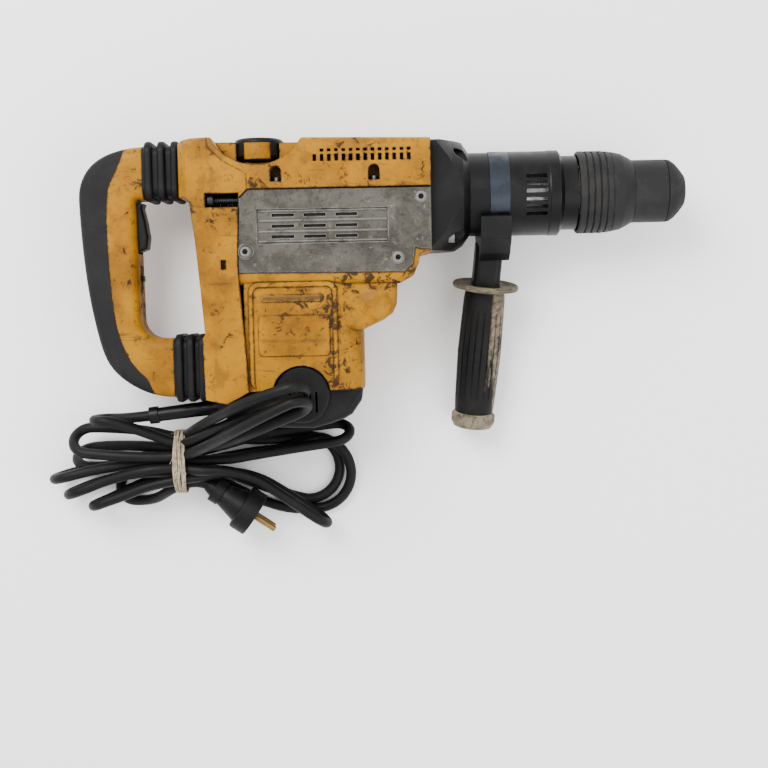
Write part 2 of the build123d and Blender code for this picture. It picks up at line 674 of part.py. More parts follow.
def shaft_seal():
    return rod_x(24, 141, 149) - rod_x(TUBE_R + 0.05, 140, 150)


def locking_sleeve():
    body = turned(
        [
            (152.7, SLEEVE_SKIRT_R), (152.7, 31.2), (153.8, 31.9), (171, 31.9), (179, 31.0), (186.6, 29.4),
            (192, 26.6), (195.8, 24.3), (195.8, 17.1), (182, 17.1), (182, 24), (166, 24), (166, SLEEVE_SKIRT_R),
        ]
    )
    for x in (157.5, 162.5, 167.5, 172.5, 177.5):
        body -= rod_x(40, x, x + 1.6) - rod_x(30.3, x - 1, x + 3)
    return body


def sleeve_spring():
    coil = Helix(5.0, 25.0, 20.0)
    wire = sweep(Plane(origin=(20.0, 0, 0), z_dir=(0, 1, 0)) * Circle(1.0), path=coil)
    return Pos(155, 0, 0) * Rot(0, 90, 0) * wire


def nose_tube():
    return turned([(196, 17), (196, 24.3), (221, 24.3), (222, 23.6), (222, 17)])


def dust_cap():
    return turned(
        [
            (222, 9.3), (222, 24.3), (225, 23.8), (228.5, 21.4), (231.6, 18.2), (234.6, 14.5), (236.5, 11.8),
            (236.5, 9.3),
        ]
    )


# ---------------------------------------------------------------- side handle


def droop(shape):
    return Rot(HANDLE_DROOP, 0, 0) * shape


def lean(shape):
    return Pos(HANDLE_X, 0, 0) * Rot(0, 0, -HANDLE_LEAN) * shape


def side_strap():
    body = rod_x(STRAP_OUTER_R, STRAP_LOW_X, STRAP_HIGH_X) - rod_x(STRAP_INNER_R, STRAP_LOW_X - 1, STRAP_HIGH_X + 1)
    return droop(body)


def side_bracket():
    side_view = [(-12.4, 36.5), (-30, 36.5), (-43, 25), (-50, 15), (-50, -15), (-43, -25), (-30, -36.5), (-12.4, -36.5)]
    body = prism_x(side_view, 76, 99.2)
    body = rounded(body, Axis.X, 2)
    neck = lean(block(-11, 10.5, -72, -40, -12, 12))
    body += fillet([e for e in neck.edges() if e.length > 28], 5)
    body -= rod_x(STRAP_OUTER_R, 70, 105)
    body -= lean(rod_y(4.1, -74, -39))
    return droop(body)


def side_upper_flange():
    disc = revolve(
        outline([(4.1, -72), (20, -72), (25.4, -70.6), (26.4, -72.2), (25.6, -74.4), (17, -76.5), (4.1, -76.5)]), Axis.Y
    )
    return droop(lean(disc))


def side_grip():
    line = [(4.1, -76.5), (15.6, -76.5), (16.4, -84), (17.4, -127), (16.2, -165), (15.4, -176), (4.1, -176)]
    body = revolve(outline(line), Axis.Y)
    for rib in range(20):
        turn = Rot(0, rib * 18, 0)
        body -= turn * block(16.0, 19, -163, -92, -0.6, 0.6)
    return droop(lean(body))


def side_end_flange():
    line = [(4.1, -176), (15.4, -176), (17.6, -178.5), (17.6, -184), (15.5, -188), (7.5, -188), (7.5, -182), (4.1, -182)]
    return droop(lean(revolve(outline(line), Axis.Y)))


def side_rod():
    rod = rod_y(4.0, -186.5, -39.2)
    nut = extrude(Plane.XZ.offset(182) * RegularPolygon(7.2, 6), amount=4) - rod_y(4.0, -187, -181)
    return Compound([droop(lean(rod)), droop(lean(nut))])


# ---------------------------------------------------------------- controls and cord


def selector_knob():
    body = rod_y(19, 28, 46, KNOB_X)
    body = fillet(body.faces().sort_by(Axis.Y)[-1].edges(), 3)
    body = chamfer(body.faces().sort_by(Axis.Y)[0].edges(), 4)
    body += rod_y(5.0, 13, 28, KNOB_X)
    body -= block(KNOB_X - 10.2, KNOB_X + 10.2, 29.2, 42.2, 10, 21)
    return body


def selector_button():
    # Its outer face is part of a cylinder, so it clears the seat while the knob turns
    return block(KNOB_X - 10.0, KNOB_X + 10.0, 29.4, 42.0, 13.5, 20) & rod_y(19.6, 29, 43, KNOB_X)


def electronics():
    body = block(-10, 2, -88, -66, -30, 30)
    for z in (-20, -6, 8, 20):
        body += block(-10, 1, -66, -64.2, z - 2, z + 2)
    return body


RELIEF_START = (-129.1, -162.0)
RELIEF_END = (-186.0, -168.2)
RELIEF_R = 5.9
RELIEF_COLLAR = 7.0


def strain_relief():
    start = Vector(*RELIEF_START, 0)
    end = Vector(*RELIEF_END, 0)
    along = end - start
    line = Plane(origin=start, z_dir=along)
    body = Cone(RELIEF_R, RELIEF_R - 0.4, along.length, align=(Align.CENTER, Align.CENTER, Align.MIN))
    body += Pos(0, 0, along.length - RELIEF_COLLAR / 2) * Cylinder(6.8, RELIEF_COLLAR)
    body -= Cylinder(CORD_DIAMETER / 2, 3 * along.length)
    return line * body


# ---------------------------------------------------------------- cord, in the row frame

# The lead leaves the strain relief, sinks a little and enters the hank.
TAIL_ROUTE = [(-187.4, -97.6, 52.0), (-205.0, -99.5, 49.5), (-219.0, -100.0, 43.0)]
TIE_X = -166.0
TIE_Y = -136.5
TIE_Z = 33.5
TIE_HALF = 4.5
TIE_BAND = 1.8
TIE_HALF_Y = 24.2
TIE_HALF_Z = 17.8
# Stations of the hank's outer shape: x, lowest and highest y, lowest and highest z.
# Its folds fan out from the tie, to the left and to the right on the floor, and up onto the end cap.
LEFT_STATIONS = [
    (-166.0, -157.0, -116.0, 19.0, 48.0), (-205.0, -166.0, -107.0, 3.0, 52.0), (-232.0, -176.0, -107.0, 0.5, 50.0),
    (-272.0, -164.0, -128.0, 0.5, 43.0),
]
FIRST_FOLD_STATIONS = [(-219.0, -110.0, -95.0, 38.0, 70.0), (-233.0, -110.0, -95.0, 38.0, 70.0)]
FLOOR_STATIONS = [
    (-166.0, -157.0, -116.0, 19.0, 48.0), (-110.0, -170.0, -113.0, 0.5, 46.0), (-60.0, -187.0, -111.0, 0.5, 44.0),
    (-29.0, -176.0, -109.0, 0.5, 40.0),
]
RAMP_STATIONS = [
    (-166.0, -133.0, -116.0, 36.0, 48.0), (-150.0, -130.0, -107.0, 46.0, 72.0), (-125.0, -123.0, -94.0, 88.0, 113.0),
    (-104.0, -112.0, -87.5, 95.0, 125.0), (-85.0, -106.0, -77.0, 101.5, 132.0), (-50.0, -94.0, -70.0, 101.5, 133.0),
]
PLUG_FACE = (-108.5, -182.5, 28.3)
PLUG_AXIS = (0.82, -0.57, -0.05)
PLUG_R = 18.7
PLUG_HEAD = 14.0
PIN_LENGTH = 19.0
PIN_R = 2.4
PIN_OFFSET = 9.5


def fillet_radii(points):
    radii = []
    for before, corner, after in zip(points, points[1:], points[2:]):
        first = Vector(*corner) - Vector(*before)
        second = Vector(*after) - Vector(*corner)
        half_turn = math.radians(first.get_angle(second)) / 2
        radii.append(0.45 * min(first.length, second.length) / math.tan(half_turn))
    return radii


def cord_tail():
    radii = fillet_radii(TAIL_ROUTE)
    line = FilletPolyline(*TAIL_ROUTE, radius=radii)
    direction = Vector(*TAIL_ROUTE[1]) - Vector(*TAIL_ROUTE[0])
    section = Plane(origin=TAIL_ROUTE[0], z_dir=direction) * Circle(CORD_DIAMETER / 2)
    tube = sweep(section, path=line)
    expected = line.length * math.pi * (CORD_DIAMETER / 2) ** 2
    print("tail radii", [round(r, 1) for r in radii], "volume", round(tube.volume), "expected", round(expected))
    return tube


def station(x, y0, y1, z0, z1):
    return Plane.YZ.offset(x) * outline([(y0, z0), (y1, z0), (y1, z1), (y0, z1)])


def hank_part(stations):
    return loft([station(*values) for values in stations], ruled=True)


def cord_hank():
    body = hank_part(LEFT_STATIONS) + hank_part(FIRST_FOLD_STATIONS)
    return body + hank_part(FLOOR_STATIONS) + hank_part(RAMP_STATIONS)


def cord_tie():
    start = Plane.YZ.offset(TIE_X - TIE_HALF)
    band = start * (Ellipse(TIE_HALF_Y + TIE_BAND, TIE_HALF_Z + TIE_BAND) - Ellipse(TIE_HALF_Y, TIE_HALF_Z))
    return Pos(0, TIE_Y, TIE_Z) * extrude(band, amount=2 * TIE_HALF)


def plug_frame():
    return Plane(origin=PLUG_FACE, x_dir=(0.0, 0.1, 1.0), z_dir=PLUG_AXIS)


def plug_body():
    body = Pos(0, 0, -PLUG_HEAD / 2) * Cylinder(PLUG_R, PLUG_HEAD)
    body = fillet(body.edges().filter_by(GeomType.CIRCLE), 1.5)
    for side in (-1, 1):
        body -= Pos(0, side * PLUG_R, -6) * Box(6, 5, 18)
    body += Pos(0, 0, -23) * Cone(9, 14, 18)
    body += Pos(0, 0, -36) * Cylinder(10.3, 8)
    body += Pos(0, 0, -43) * Cone(5, 7, 6)
    return plug_frame() * body


def plug_pins():
    pins = []
    for side in (-1, 1):
        pin = Pos(side * PIN_OFFSET, 0, PIN_LENGTH / 2) * Cylinder(PIN_R, PIN_LENGTH)
        pins.append(plug_frame() * fillet(pin.edges().sort_by(Axis.Z)[-1], PIN_R / 2))
    return Compound(pins)


def main():
    whole = handle_whole()
    region = rubber_region()
    right_shell, left_shell = handle_shells(whole, region)
    cover = side_cover()
    nodes = {
        "gearbox_housing": gearbox_housing(),
        "right_side_cover": cover,
        "left_side_cover": mirror(cover, Plane.XY),
        "cover_screws": cover_screws(),
        "top_cover": top_cover(),
        "top_screws": top_screws(),
        "rear_housing": rear_housing(),
        "channel_screws": channel_screws(),
        "motor_housing": motor_housing(),
        "end_cap": end_cap(),
        "handle_right_shell": right_shell,
        "handle_left_shell": left_shell,
        "handle_overmold": handle_overmold(whole, region),
        "trigger": trigger(),
        "lock_slider": lock_slider(),
        "switch_module": switch_module(),
        "trigger_spring": trigger_spring(),
        "upper_bellows": bellows(-183, -152.6, -1.6, 44.5, 24, 3, 3.0),
        "lower_bellows": bellows(-163, -136, -157, -104, 23, 3, 3.0),
        "motor_shaft": shaft_and_pinion(),
        "armature": armature(),
        "fan": fan(),
        "stator": stator(),
        "shaft_bearings": shaft_bearings(),
        "brush_gear": brush_gear(),
        "crank_gear": crank_gear(),
        "bevel_shaft": bevel_shaft(),
        "bevel_ring": bevel_ring(),
        "piston": piston(),
        "connecting_rod": connecting_rod(),
        "wrist_pin": rod_y(WRIST_PIN_R, -13.5, 13.5, WRIST_PIN_X),
        "hammer_tube": hammer_tube(),
        "ram": ram(),
        "beat_piece": beat_piece(),
        "tool_holder": tool_holder(),
        "tube_bearings": tube_bearings(),
        "lock_segments": lock_segments(),
        "front_housing": front_housing(),
        "housing_screws": housing_screws(),
        "barrel": barrel(),
        "shaft_seal": shaft_seal(),
        "locking_sleeve": locking_sleeve(),
        "sleeve_spring": sleeve_spring(),
        "nose_tube": nose_tube(),
        "dust_cap": dust_cap(),
        "side_handle_strap": side_strap(),
        "side_handle_bracket": side_bracket(),
        "side_handle_flange": side_upper_flange(),
        "side_handle_grip": side_grip(),
        "side_handle_end_flange": side_end_flange(),
        "side_handle_rod": side_rod(),
        "selector_knob": selector_knob(),
        "selector_button": selector_button(),
        "electronics": electronics(),
        "strain_relief": strain_relief(),
    }
    tail = cord_tail()
    tie = cord_tie()
    plug = plug_body()
    pins = plug_pins()
    free_cord = {
        "cord_tail": tail,
        "cord_hank": cord_hank() - tail - tie - plug - pins,
        "cord_tie": tie,
        "plug_body": plug,
        "plug_pins": pins,
    }
    for name, shape in nodes.items():
        export_step(shape.moved(ROW), f"parts/{name}.step")
    for name, shape in free_cord.items():
        export_step(shape, f"parts/{name}.step")
    print(len(nodes) + len(free_cord), "nodes")


main()
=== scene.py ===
import math

import bpy
from mathutils import Matrix, Vector


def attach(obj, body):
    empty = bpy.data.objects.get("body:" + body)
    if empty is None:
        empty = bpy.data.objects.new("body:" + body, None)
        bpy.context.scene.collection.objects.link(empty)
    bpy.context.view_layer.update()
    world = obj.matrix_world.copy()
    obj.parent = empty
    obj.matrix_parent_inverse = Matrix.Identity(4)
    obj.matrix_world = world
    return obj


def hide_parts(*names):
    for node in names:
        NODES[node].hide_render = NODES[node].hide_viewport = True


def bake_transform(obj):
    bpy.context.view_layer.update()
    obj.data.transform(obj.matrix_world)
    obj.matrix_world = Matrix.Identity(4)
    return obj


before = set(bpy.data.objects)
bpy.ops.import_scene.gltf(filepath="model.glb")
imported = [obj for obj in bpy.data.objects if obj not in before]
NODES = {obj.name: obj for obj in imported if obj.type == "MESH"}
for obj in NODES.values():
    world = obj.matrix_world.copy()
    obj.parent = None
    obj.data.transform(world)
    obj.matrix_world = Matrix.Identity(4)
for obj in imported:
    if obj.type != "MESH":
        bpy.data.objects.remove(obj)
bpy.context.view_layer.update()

# A demolition hammer lying on its left side. Metres, in the part's own row frame: +X to the nose,
# +Y the tool's upward direction, +Z up from the floor. Lists of a cord's points are in millimetres.

MM = 0.001


# ---------------------------------------------------------------- camera, floor and light

CAMERA_AT = Vector((-0.0037, -0.0111, 1.102))
CAMERA_AIM = Vector((-0.0019, -0.0764, 0.052))
CAMERA_LENS = 62.4
CAMERA_ROLL = math.radians(1.2)


def aimed(place, target, up):
    back = (place - target).normalized()
    right = up.cross(back).normalized()
    turn = Matrix((right, back.cross(right), back)).transposed().to_4x4()
    return Matrix.Translation(place) @ turn


def make_camera():
    data = bpy.data.cameras.new("camera")
    data.sensor_width = 36
    data.lens = CAMERA_LENS
    camera = bpy.data.objects.new("camera", data)
    up = Vector((math.sin(CAMERA_ROLL), math.cos(CAMERA_ROLL), 0))
    camera.matrix_world = aimed(CAMERA_AT, CAMERA_AIM, up)
    bpy.context.collection.objects.link(camera)
    bpy.context.scene.camera = camera


def area_light(name, place, target, size, power):
    data = bpy.data.lights.new(name, "AREA")
    data.shape = "DISK"
    data.size = size
    data.energy = power
    light = bpy.data.objects.new(name, data)
    light.matrix_world = aimed(Vector(place), Vector(target), Vector((0, 1, 0.01)))
    bpy.context.collection.objects.link(light)


def make_lights():
    world = bpy.data.worlds.new("studio")
    world.use_nodes = True
    background = world.node_tree.nodes["Background"]
    background.inputs["Color"].default_value = (1, 1, 1, 1)
    background.inputs["Strength"].default_value = 1.7
    bpy.context.scene.world = world
    area_light("key", (-0.7, 0.9, 1.5), (0, 0, 0), 1.1, 52)
    area_light("fill", (0.9, -0.5, 1.4), (0, 0, 0), 1.4, 18)


# ---------------------------------------------------------------- materials

class Paint:
    """A procedural material: a Principled shader with layers of colour, roughness and height over it."""

    def __init__(self, name, color, rough, metal=0.0, **constants):
        self.material = bpy.data.materials.new(name)
        self.material.use_nodes = True
        self.tree = self.material.node_tree
        self.shader = self.tree.nodes["Principled BSDF"]
        for socket, value in constants.items():
            self.shader.inputs[socket.replace("_", " ")].default_value = value
        self.shader.inputs["Metallic"].default_value = metal
        self.at = self.node("ShaderNodeTexCoord").outputs["Object"]
        self.color = self.tone(color, color, self.noise(20))
        self.rough = self.between(self.noise(45), rough - 0.06, rough + 0.06)
        self.height = None

    def node(self, kind, **settings):
        made = self.tree.nodes.new(kind)
        for key, value in settings.items():
            setattr(made, key, value)
        return made

    def put(self, socket, value):
        if isinstance(value, bpy.types.NodeSocket):
            self.tree.links.new(value, socket)
        else:
            socket.default_value = value

    def math(self, operation, *values):
        made = self.node("ShaderNodeMath", operation=operation)
        for socket, value in zip(made.inputs, values):
            self.put(socket, value)
        return made.outputs[0]

    def stretched(self, stretch):
        if stretch == (1, 1, 1):
            return self.at
        made = self.node("ShaderNodeVectorMath", operation="MULTIPLY")
        self.put(made.inputs[0], self.at)
        made.inputs[1].default_value = stretch
        return made.outputs[0]

    def noise(self, scale, detail=4, grain=0.55, stretch=(1, 1, 1), warp=0.0):
        made = self.node("ShaderNodeTexNoise")
        self.put(made.inputs["Vector"], self.stretched(stretch))
        made.inputs["Scale"].default_value = scale
        made.inputs["Detail"].default_value = detail
        made.inputs["Roughness"].default_value = grain
        made.inputs["Distortion"].default_value = warp
        return made.outputs["Fac"]

    def step(self, value, low, high):
        made = self.node("ShaderNodeMapRange", interpolation_type="SMOOTHSTEP")
        self.put(made.inputs["Value"], value)
        made.inputs["From Min"].default_value = low
        made.inputs["From Max"].default_value = high
        return made.outputs["Result"]

    def between(self, value, low, high):
        made = self.node("ShaderNodeMapRange")
        self.put(made.inputs["Value"], value)
        made.inputs["From Min"].default_value = 0.3
        made.inputs["From Max"].default_value = 0.7
        made.inputs["To Min"].default_value = low
        made.inputs["To Max"].default_value = high
        return made.outputs["Result"]

    def tone(self, first, second, share):
        made = self.node("ShaderNodeMix", data_type="RGBA")
        self.put(made.inputs["Factor"], share)
        for socket, value in ((made.inputs[6], first), (made.inputs[7], second)):
            self.put(socket, (*value, 1) if isinstance(value, tuple) else value)
        return made.outputs[2]

    def shade(self, mask, color):
        self.color = self.tone(self.color, color, mask)

    def gloss(self, mask, rough):
        made = self.node("ShaderNodeMix", data_type="FLOAT")
        self.put(made.inputs["Factor"], mask)
        self.put(made.inputs[2], self.rough)
        made.inputs[3].default_value = rough
        self.rough = made.outputs[0]

    def raise_by(self, value, amount):
        part = self.math("MULTIPLY", value, amount)
        self.height = part if self.height is None else self.math("ADD", self.height, part)

    def edges(self, radius, low=0.02, high=0.16):
        """1 along sharp edges and creases, whatever the view."""
        bevel = self.node("ShaderNodeBevel", samples=6)
        bevel.inputs["Radius"].default_value = radius
        geometry = self.node("ShaderNodeNewGeometry")
        dot = self.node("ShaderNodeVectorMath", operation="DOT_PRODUCT")
        self.put(dot.inputs[0], bevel.outputs["Normal"])
        self.put(dot.inputs[1], geometry.outputs["Normal"])
        return self.step(self.math("SUBTRACT", 1.0, dot.outputs["Value"]), low, high)

    def shade_in_hollows(self, distance, low=0.35, high=0.85):
        """1 in corners and grooves, from ambient occlusion: a mask for painted shade there."""
        occlusion = self.node("ShaderNodeAmbientOcclusion", samples=6)
        occlusion.inputs["Distance"].default_value = distance
        return self.math("SUBTRACT", 1.0, self.step(occlusion.outputs["AO"], low, high))

    def near(self, axis, low, high, soft):
        """1 where the place along axis is between low and high."""
        split = self.node("ShaderNodeSeparateXYZ")
        self.put(split.inputs[0], self.at)
        rising = self.step(split.outputs[axis], low - soft, low + soft)
        falling = self.step(split.outputs[axis], high - soft, high + soft)
        return self.math("SUBTRACT", rising, falling)

    def region(self, *spans, soft=0.004):
        mask = None
        for axis, low, high in spans:
            part = self.near(axis, low, high, soft)
            mask = part if mask is None else self.math("MULTIPLY", mask, part)
        return mask

    def done(self, depth=0.0003, round_edges=0.0006, strength=1.0):
        self.put(self.shader.inputs["Base Color"], self.color)
        self.put(self.shader.inputs["Roughness"], self.rough)
        bump = self.node("ShaderNodeBump")
        bump.inputs["Strength"].default_value = strength
        bump.inputs["Distance"].default_value = depth
        if self.height is not None:
            self.put(bump.inputs["Height"], self.height)
        if round_edges:
            bevel = self.node("ShaderNodeBevel", samples=6)
            bevel.inputs["Radius"].default_value = round_edges
            self.put(bump.inputs["Normal"], bevel.outputs["Normal"])
        self.put(self.shader.inputs["Normal"], bump.outputs["Normal"])
        return self.material


GRIME = (0.012, 0.008, 0.005)


def yellow_plastic(name, extra=(), stained=()):
    paint = Paint(name, (0.33, 0.145, 0.0), 0.48, Specular_IOR_Level=0.12)
    faded = paint.step(paint.noise(26, 5), 0.4, 0.68)
    paint.color = paint.tone((0.275, 0.118, 0.0), (0.17, 0.067, 0.0), faded)
    stain = paint.step(paint.noise(60, 8, 0.68, warp=0.4), 0.48, 0.66)
    paint.shade(paint.math("MULTIPLY", stain, 0.55), (0.085, 0.034, 0.002))
    score = paint.noise(130, 10, 0.72, warp=0.6)
    patches = paint.step(paint.noise(14, 3), 0.45, 0.7)
    score = paint.math("ADD", score, paint.math("MULTIPLY", patches, 0.09))
    score = paint.math("ADD", score, paint.math("MULTIPLY", paint.edges(0.0024), 0.14))
    for spans, amount in extra:
        score = paint.math("ADD", score, paint.math("MULTIPLY", paint.region(*spans), amount))
    marks = paint.step(score, 0.60, 0.69)
    fine = paint.step(paint.noise(420, 6, 0.75, warp=0.3), 0.58, 0.66)
    paint.shade(paint.math("MULTIPLY", fine, 0.55), (0.045, 0.024, 0.006))
    paint.shade(paint.math("MULTIPLY", marks, 0.92), GRIME)
    for spans, tone, amount in stained:
        patchy = paint.between(paint.noise(120, 8, 0.7), 0.6 * amount, amount)
        paint.shade(paint.math("MULTIPLY", paint.region(*spans, soft=0.0012), patchy), tone)
    # Painted shade: corners and grooves of the yellow darkened towards dark brown
    paint.shade(paint.math("MULTIPLY", paint.shade_in_hollows(0.006), 0.8), (0.025, 0.013, 0.004))
    scratch = paint.step(paint.noise(240, 3, 0.5, stretch=(0.12, 1, 1), warp=1.2), 0.66, 0.72)
    paint.shade(paint.math("MULTIPLY", scratch, 0.5), (0.030, 0.018, 0.006))
    paint.gloss(marks, 0.75)
    paint.raise_by(paint.noise(900, 3), 0.35)
    paint.raise_by(marks, -0.5)
    return paint.done(0.0002, 0.0008)


def cast_aluminium(name):
    paint = Paint(name, (0.07, 0.066, 0.056), 0.55, 0.25, Specular_IOR_Level=0.25)
    blotch = paint.step(paint.noise(42, 7, 0.7, warp=0.5), 0.38, 0.64)
    paint.color = paint.tone((0.062, 0.058, 0.047), (0.028, 0.0245, 0.018), blotch)
    speck = paint.step(paint.noise(260, 6, 0.7), 0.53, 0.64)
    paint.shade(paint.math("MULTIPLY", speck, 0.65), (0.016, 0.013, 0.009))
    bright = paint.step(paint.noise(150, 8, 0.75, warp=0.8), 0.58, 0.68)
    paint.shade(paint.math("MULTIPLY", bright, 0.55), (0.19, 0.185, 0.165))
    worn = paint.math("MULTIPLY", paint.edges(0.0011), paint.step(paint.noise(80, 5), 0.35, 0.5))
    paint.shade(paint.math("MULTIPLY", worn, 0.8), (0.24, 0.235, 0.215))
    paint.gloss(worn, 0.35)
    # Painted shade: corners and grooves of the casting darkened almost to black
    paint.shade(paint.math("MULTIPLY", paint.shade_in_hollows(0.005), 0.85), (0.012, 0.010, 0.008))
    paint.raise_by(paint.noise(500, 5, 0.6), 0.8)
    paint.raise_by(paint.noise(160, 4), 0.8)
    return paint.done(0.00035)


def black_plastic(name, tone=(0.0024, 0.0024, 0.0026), rough=0.42, dusty=0.13, ribbed=False):
    paint = Paint(name, tone, rough, Specular_IOR_Level=0.13)
    haze = paint.step(paint.noise(34, 6, 0.62, warp=0.4), 0.46, 0.76)
    paint.shade(paint.math("MULTIPLY", haze, dusty), (0.035, 0.032, 0.028))
    speck = paint.step(paint.noise(300, 6, 0.75), 0.62, 0.7)
    paint.shade(paint.math("MULTIPLY", speck, dusty), (0.07, 0.062, 0.048))
    worn = paint.math("MULTIPLY", paint.edges(0.0012), paint.step(paint.noise(110, 6), 0.44, 0.62))
    paint.shade(paint.math("MULTIPLY", worn, 0.45), (0.055, 0.052, 0.046))
    paint.gloss(paint.math("MULTIPLY", haze, 0.6), min(rough + 0.25, 0.9))
    paint.raise_by(paint.noise(1100, 3), 0.4)
    if ribbed:
        paint.raise_by(paint.noise(400, 2, stretch=(0.05, 1, 1)), 0.4)
    return paint.done(0.0002)


def rubber_paint(name, tone, rough, dusty):
    paint = Paint(name, tone, rough, Specular_IOR_Level=0.13)
    haze = paint.step(paint.noise(30, 7, 0.66, warp=0.5), 0.44, 0.74)
    paint.shade(paint.math("MULTIPLY", haze, dusty), (0.035, 0.032, 0.028))
    worn = paint.step(paint.noise(170, 8, 0.7), 0.60, 0.72)
    paint.shade(paint.math("MULTIPLY", worn, dusty), (0.055, 0.048, 0.038))
    paint.raise_by(paint.noise(1500, 3), 0.6)
    paint.raise_by(paint.noise(220, 5), 0.5)
    return paint


def rubber(name, tone=(0.0028, 0.0029, 0.0034), rough=0.55, dusty=0.16):
    return rubber_paint(name, tone, rough, dusty).done(0.00018)


# The grip's axis leans in X by this much for each metre of Y, from this X where Y is 0
GRIP_LEAN = 0.096
GRIP_AXIS_X = 0.0808


def peeled_grip(name):
    """Black rubber whose outer skin has come off in patches along one side of the grip."""
    paint = rubber_paint(name, (0.0032, 0.0032, 0.0034), 0.6, 0.2)
    split = paint.node("ShaderNodeSeparateXYZ")
    paint.put(split.inputs[0], paint.at)
    leaning = paint.math("MULTIPLY", split.outputs["Y"], GRIP_LEAN)
    from_axis = paint.math("SUBTRACT", paint.math("SUBTRACT", split.outputs["X"], leaning), GRIP_AXIS_X)
    off_middle = paint.step(from_axis, 0.0045, 0.0075)
    facing_up = paint.step(split.outputs["Z"], 0.012, 0.022)
    side = paint.math("MULTIPLY", off_middle, facing_up)
    patchy = paint.step(paint.noise(70, 7, 0.65, stretch=(1, 0.35, 1), warp=0.6), 0.42, 0.52)
    skin = paint.math("MULTIPLY", side, patchy)
    blots = paint.step(paint.noise(260, 6, 0.7), 0.4, 0.62)
    mottled = paint.tone((0.17, 0.14, 0.092), (0.055, 0.044, 0.028), blots)
    paint.shade(paint.math("MULTIPLY", skin, 0.9), mottled)
    paint.raise_by(skin, -1.5)
    return paint.done(0.00025)


def steel(name, tone, rough, brushed=(1, 1, 1), shaded_sockets=()):
    paint = Paint(name, tone, rough, 0.9)
    dull = paint.step(paint.noise(70, 6, 0.65), 0.42, 0.66)
    dark = tuple(value * 0.45 for value in tone)
    paint.shade(paint.math("MULTIPLY", dull, 0.6), dark)
    rust = paint.step(paint.noise(190, 7, 0.7), 0.60, 0.70)
    paint.shade(paint.math("MULTIPLY", rust, 0.5), (0.09, 0.045, 0.02))
    paint.gloss(dull, rough + 0.2)
    bright = tuple(min(1, value * 1.8) for value in tone)
    paint.shade(paint.math("MULTIPLY", paint.edges(0.0006), 0.5), bright)
    # Painted shade: corners and recesses of the steel darkened almost to black
    paint.shade(paint.math("MULTIPLY", paint.shade_in_hollows(0.004), 0.9), (0.010, 0.009, 0.008))
    # Painted shade: the steel made near black inside the screws' hexagon sockets
    for spans in shaded_sockets:
        paint.shade(paint.region(*spans, soft=0.0001), (0.006, 0.005, 0.004))
    paint.raise_by(paint.noise(900, 3, stretch=brushed), 0.5)
    return paint.done(0.0001, 0.0004)


def khaki(name):
    paint = Paint(name, (0.15, 0.125, 0.08), 0.6, Specular_IOR_Level=0.25)
    aged = paint.step(paint.noise(60, 6, 0.65), 0.38, 0.66)
    paint.color = paint.tone((0.145, 0.120, 0.078), (0.062, 0.048, 0.027), aged)
    dirt = paint.step(paint.noise(170, 9, 0.75, warp=0.5), 0.50, 0.60)
    paint.shade(paint.math("MULTIPLY", dirt, 0.85), (0.030, 0.022, 0.015))
    paint.shade(paint.math("MULTIPLY", paint.edges(0.0015), 0.5), (0.25, 0.215, 0.155))
    # Painted shade: corners and grooves of the khaki darkened
    paint.shade(paint.shade_in_hollows(0.005), (0.03, 0.024, 0.018))
    paint.raise_by(paint.noise(700, 5), 0.8)
    return paint.done(0.0003)


def twine(name):
    """Undyed thread: fine fibres along each strand, with grey dirt."""
    paint = Paint(name, (0.30, 0.25, 0.17), 0.85, Specular_IOR_Level=0.2)
    fibres = paint.step(paint.noise(900, 4, 0.6, stretch=(1, 0.25, 0.25)), 0.4, 0.62)
    paint.color = paint.tone((0.36, 0.30, 0.21), (0.19, 0.15, 0.095), fibres)
    dirt = paint.step(paint.noise(140, 7, 0.7), 0.48, 0.66)
    paint.shade(paint.math("MULTIPLY", dirt, 0.6), (0.13, 0.10, 0.065))
    # Painted shade: the thread darkened where its strands close in on each other
    paint.shade(paint.math("MULTIPLY", paint.shade_in_hollows(0.0015), 0.6), (0.08, 0.06, 0.04))
    paint.raise_by(fibres, 1.0)
    return paint.done(0.00025, 0)


def copper_windings(name):
    paint = Paint(name, (0.10, 0.08, 0.07), 0.5, 0.5)
    wires = paint.step(paint.noise(300, 2, stretch=(1, 0.1, 1)), 0.4, 0.6)
    paint.color = paint.tone((0.06, 0.055, 0.05), (0.32, 0.12, 0.04), wires)
    paint.raise_by(wires, 1.0)
    return paint.done(0.0002)


# ---------------------------------------------------------------- pieces

def add_curve(name, lines, radius, material, body, closed=False):
    """Tubes along lines of control points in metres, one spline each."""
    data = bpy.data.curves.new(name, "CURVE")
    data.dimensions = "3D"
    data.resolution_u = 6
    data.bevel_depth = radius
    data.bevel_resolution = 5
    data.use_fill_caps = True
    for line in lines:
        spline = data.splines.new("NURBS")
        spline.points.add(len(line) - 1)
        for point, place in zip(spline.points, line):
            point.co = (*place, 1)
        spline.order_u = 3
        spline.use_endpoint_u = not closed
        spline.use_cyclic_u = closed
    data.materials.append(material)
    piece = bpy.data.objects.new(name, data)
    bpy.context.collection.objects.link(piece)
    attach(piece, body)
    return piece


# ---------------------------------------------------------------- the lead

CORD_DIAMETER = 8.5 * MM
TAIL_ROUTE = [(-187.4, -97.6, 52.0), (-205.0, -99.5, 49.5), (-219.0, -100.0, 43.0)]
TIE_AT = (-166.0, -136.5, 33.5)
# Where each pass of the hank goes through the tie, from its middle, in y and z
TIE_PASSES = [
    (13.5, 9), (18, 0), (4.5, 9), (9, 0), (4.5, -9), (0, 0), (13.5, -9), (-9, 0), (-4.5, 9), (-13.5, 9),
    (-13.5, -9), (-4.5, -9), (-18, 0),
]
